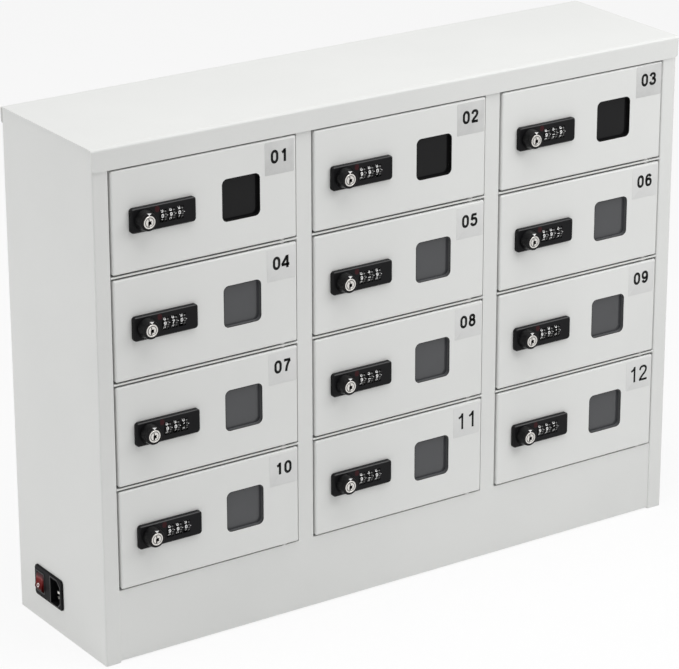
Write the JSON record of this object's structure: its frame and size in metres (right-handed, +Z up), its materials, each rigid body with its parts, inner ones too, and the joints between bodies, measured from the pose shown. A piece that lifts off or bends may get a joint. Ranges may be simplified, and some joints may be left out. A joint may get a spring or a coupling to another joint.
{
  "type": "cell phone locker box",
  "caption": "Steel locker of small windowed compartments for charging phones, with a dial-and-key cam lock on each door and a switched mains inlet on one side",
  "frame": {"origin": "centre of the base, on the surface that the cabinet stands on", "axes": "+Z up, doors face -Y, power inlet on the -X side"},
  "size_m": [0.6055, 0.1625, 0.456],
  "materials": {
    "cabinet_paint": "light grey powder coat, fine orange peel",
    "door_paint": "light grey powder coat, fine orange peel",
    "pin_steel": "turned and zinc plated",
    "lock_plastic": "black moulded plastic, fine texture",
    "knob_plastic": "black moulded plastic, satin",
    "wheel_plastic": "black moulded plastic",
    "key_chrome": "satin chrome",
    "cam_steel": "zinc plated",
    "smoked_window": "smoked acrylic, polished",
    "number_label": "grey film sticker",
    "number_ink": "black print",
    "mark_ink": "white and red print",
    "inlet_plastic": "black moulded plastic",
    "rocker_plastic": "translucent red, glossy",
    "charger_plastic": "black moulded plastic"
  },
  "bodies": {
    "cabinet": {"top_cover": "cabinet_paint", "left_side": "cabinet_paint", "right_side": "cabinet_paint", "back_panel": "cabinet_paint", "base_pan": "cabinet_paint", "front_frame": "cabinet_paint", "dividers": "cabinet_paint", "shelves": "cabinet_paint", "hinge_pins": "pin_steel", "power_inlet": "inlet_plastic", "charger": "charger_plastic"},
    "door_01": {"door_01": "door_paint", "lock_case_01": "lock_plastic"},
    "door_02": {"door_02": "door_paint", "lock_case_02": "lock_plastic"},
    "door_03": {"door_03": "door_paint", "lock_case_03": "lock_plastic"},
    "door_04": {"door_04": "door_paint", "lock_case_04": "lock_plastic"},
    "door_05": {"door_05": "door_paint", "lock_case_05": "lock_plastic"},
    "door_06": {"door_06": "door_paint", "lock_case_06": "lock_plastic"},
    "door_07": {"door_07": "door_paint", "lock_case_07": "lock_plastic"},
    "door_08": {"door_08": "door_paint", "lock_case_08": "lock_plastic"},
    "door_09": {"door_09": "door_paint", "lock_case_09": "lock_plastic"},
    "door_10": {"door_10": "door_paint", "lock_case_10": "lock_plastic"},
    "door_11": {"door_11": "door_paint", "lock_case_11": "lock_plastic"},
    "door_12": {"door_12": "door_paint", "lock_case_12": "lock_plastic"},
    "knob_01": {"knob_01": "knob_plastic"},
    "knob_02": {"knob_02": "knob_plastic"},
    "knob_03": {"knob_03": "knob_plastic"},
    "knob_04": {"knob_04": "knob_plastic"},
    "knob_05": {"knob_05": "knob_plastic"},
    "knob_06": {"knob_06": "knob_plastic"},
    "knob_07": {"knob_07": "knob_plastic"},
    "knob_08": {"knob_08": "knob_plastic"},
    "knob_09": {"knob_09": "knob_plastic"},
    "knob_10": {"knob_10": "knob_plastic"},
    "knob_11": {"knob_11": "knob_plastic"},
    "knob_12": {"knob_12": "knob_plastic"},
    "rocker_switch": {"rocker_switch": "rocker_plastic"},
    "number_wheels_01": {"number_wheels_01": "wheel_plastic"},
    "number_wheels_02": {"number_wheels_02": "wheel_plastic"},
    "number_wheels_03": {"number_wheels_03": "wheel_plastic"},
    "number_wheels_04": {"number_wheels_04": "wheel_plastic"},
    "number_wheels_05": {"number_wheels_05": "wheel_plastic"},
    "number_wheels_06": {"number_wheels_06": "wheel_plastic"},
    "number_wheels_07": {"number_wheels_07": "wheel_plastic"},
    "number_wheels_08": {"number_wheels_08": "wheel_plastic"},
    "number_wheels_09": {"number_wheels_09": "wheel_plastic"},
    "number_wheels_10": {"number_wheels_10": "wheel_plastic"},
    "number_wheels_11": {"number_wheels_11": "wheel_plastic"},
    "number_wheels_12": {"number_wheels_12": "wheel_plastic"}
  },
  "joints": [
    {"name": "door_hinge_01", "type": "hinge", "parent": "cabinet", "child": "door_01", "pos_m": [-0.119, -0.0693, 0.3909], "axis": [0, 0, 1], "range_deg": [0, 105]},
    {"name": "door_hinge_02", "type": "hinge", "parent": "cabinet", "child": "door_02", "pos_m": [0.076, -0.0693, 0.3909], "axis": [0, 0, 1], "range_deg": [0, 105]},
    {"name": "door_hinge_03", "type": "hinge", "parent": "cabinet", "child": "door_03", "pos_m": [0.271, -0.0693, 0.3909], "axis": [0, 0, 1], "range_deg": [0, 105]},
    {"name": "door_hinge_04", "type": "hinge", "parent": "cabinet", "child": "door_04", "pos_m": [-0.119, -0.0693, 0.2979], "axis": [0, 0, 1], "range_deg": [0, 105]},
    {"name": "door_hinge_05", "type": "hinge", "parent": "cabinet", "child": "door_05", "pos_m": [0.076, -0.0693, 0.2979], "axis": [0, 0, 1], "range_deg": [0, 105]},
    {"name": "door_hinge_06", "type": "hinge", "parent": "cabinet", "child": "door_06", "pos_m": [0.271, -0.0693, 0.2979], "axis": [0, 0, 1], "range_deg": [0, 105]},
    {"name": "door_hinge_07", "type": "hinge", "parent": "cabinet", "child": "door_07", "pos_m": [-0.119, -0.0693, 0.2049], "axis": [0, 0, 1], "range_deg": [0, 105]},
    {"name": "door_hinge_08", "type": "hinge", "parent": "cabinet", "child": "door_08", "pos_m": [0.076, -0.0693, 0.2049], "axis": [0, 0, 1], "range_deg": [0, 105]},
    {"name": "door_hinge_09", "type": "hinge", "parent": "cabinet", "child": "door_09", "pos_m": [0.271, -0.0693, 0.2049], "axis": [0, 0, 1], "range_deg": [0, 105]},
    {"name": "door_hinge_10", "type": "hinge", "parent": "cabinet", "child": "door_10", "pos_m": [-0.119, -0.0693, 0.1119], "axis": [0, 0, 1], "range_deg": [0, 105]},
    {"name": "door_hinge_11", "type": "hinge", "parent": "cabinet", "child": "door_11", "pos_m": [0.076, -0.0693, 0.1119], "axis": [0, 0, 1], "range_deg": [0, 105]},
    {"name": "door_hinge_12", "type": "hinge", "parent": "cabinet", "child": "door_12", "pos_m": [0.271, -0.0693, 0.1119], "axis": [0, 0, 1], "range_deg": [0, 105]},
    {"name": "knob_turn_01", "type": "hinge", "parent": "door_01", "child": "knob_01", "pos_m": [-0.2557, -0.0748, 0.3909], "axis": [0, -1, 0], "range_deg": [0, 90]},
    {"name": "knob_turn_02", "type": "hinge", "parent": "door_02", "child": "knob_02", "pos_m": [-0.0607, -0.0748, 0.3909], "axis": [0, -1, 0], "range_deg": [0, 90]},
    {"name": "knob_turn_03", "type": "hinge", "parent": "door_03", "child": "knob_03", "pos_m": [0.1343, -0.0748, 0.3909], "axis": [0, -1, 0], "range_deg": [0, 90]},
    {"name": "knob_turn_04", "type": "hinge", "parent": "door_04", "child": "knob_04", "pos_m": [-0.2557, -0.0748, 0.2979], "axis": [0, -1, 0], "range_deg": [0, 90]},
    {"name": "knob_turn_05", "type": "hinge", "parent": "door_05", "child": "knob_05", "pos_m": [-0.0607, -0.0748, 0.2979], "axis": [0, -1, 0], "range_deg": [0, 90]},
    {"name": "knob_turn_06", "type": "hinge", "parent": "door_06", "child": "knob_06", "pos_m": [0.1343, -0.0748, 0.2979], "axis": [0, -1, 0], "range_deg": [0, 90]},
    {"name": "knob_turn_07", "type": "hinge", "parent": "door_07", "child": "knob_07", "pos_m": [-0.2557, -0.0748, 0.2049], "axis": [0, -1, 0], "range_deg": [0, 90]},
    {"name": "knob_turn_08", "type": "hinge", "parent": "door_08", "child": "knob_08", "pos_m": [-0.0607, -0.0748, 0.2049], "axis": [0, -1, 0], "range_deg": [0, 90]},
    {"name": "knob_turn_09", "type": "hinge", "parent": "door_09", "child": "knob_09", "pos_m": [0.1343, -0.0748, 0.2049], "axis": [0, -1, 0], "range_deg": [0, 90]},
    {"name": "knob_turn_10", "type": "hinge", "parent": "door_10", "child": "knob_10", "pos_m": [-0.2557, -0.0748, 0.1119], "axis": [0, -1, 0], "range_deg": [0, 90]},
    {"name": "knob_turn_11", "type": "hinge", "parent": "door_11", "child": "knob_11", "pos_m": [-0.0607, -0.0748, 0.1119], "axis": [0, -1, 0], "range_deg": [0, 90]},
    {"name": "knob_turn_12", "type": "hinge", "parent": "door_12", "child": "knob_12", "pos_m": [0.1343, -0.0748, 0.1119], "axis": [0, -1, 0], "range_deg": [0, 90]},
    {"name": "rocker_tip", "type": "hinge", "parent": "cabinet", "child": "rocker_switch", "pos_m": [-0.299, 0.0346, 0.0373], "axis": [0, -1, 0], "range_deg": [0, 20]},
    {"name": "wheels_spin_01", "type": "hinge", "parent": "door_01", "child": "number_wheels_01", "pos_m": [-0.2298, -0.0719, 0.3909], "axis": [1, 0, 0], "continuous": true},
    {"name": "wheels_spin_02", "type": "hinge", "parent": "door_02", "child": "number_wheels_02", "pos_m": [-0.0348, -0.0719, 0.3909], "axis": [1, 0, 0], "continuous": true},
    {"name": "wheels_spin_03", "type": "hinge", "parent": "door_03", "child": "number_wheels_03", "pos_m": [0.1602, -0.0719, 0.3909], "axis": [1, 0, 0], "continuous": true},
    {"name": "wheels_spin_04", "type": "hinge", "parent": "door_04", "child": "number_wheels_04", "pos_m": [-0.2298, -0.0719, 0.2979], "axis": [1, 0, 0], "continuous": true},
    {"name": "wheels_spin_05", "type": "hinge", "parent": "door_05", "child": "number_wheels_05", "pos_m": [-0.0348, -0.0719, 0.2979], "axis": [1, 0, 0], "continuous": true},
    {"name": "wheels_spin_06", "type": "hinge", "parent": "door_06", "child": "number_wheels_06", "pos_m": [0.1602, -0.0719, 0.2979], "axis": [1, 0, 0], "continuous": true},
    {"name": "wheels_spin_07", "type": "hinge", "parent": "door_07", "child": "number_wheels_07", "pos_m": [-0.2298, -0.0719, 0.2049], "axis": [1, 0, 0], "continuous": true},
    {"name": "wheels_spin_08", "type": "hinge", "parent": "door_08", "child": "number_wheels_08", "pos_m": [-0.0348, -0.0719, 0.2049], "axis": [1, 0, 0], "continuous": true},
    {"name": "wheels_spin_09", "type": "hinge", "parent": "door_09", "child": "number_wheels_09", "pos_m": [0.1602, -0.0719, 0.2049], "axis": [1, 0, 0], "continuous": true},
    {"name": "wheels_spin_10", "type": "hinge", "parent": "door_10", "child": "number_wheels_10", "pos_m": [-0.2298, -0.0719, 0.1119], "axis": [1, 0, 0], "continuous": true},
    {"name": "wheels_spin_11", "type": "hinge", "parent": "door_11", "child": "number_wheels_11", "pos_m": [-0.0348, -0.0719, 0.1119], "axis": [1, 0, 0], "continuous": true},
    {"name": "wheels_spin_12", "type": "hinge", "parent": "door_12", "child": "number_wheels_12", "pos_m": [0.1602, -0.0719, 0.1119], "axis": [1, 0, 0], "continuous": true}
  ]
}
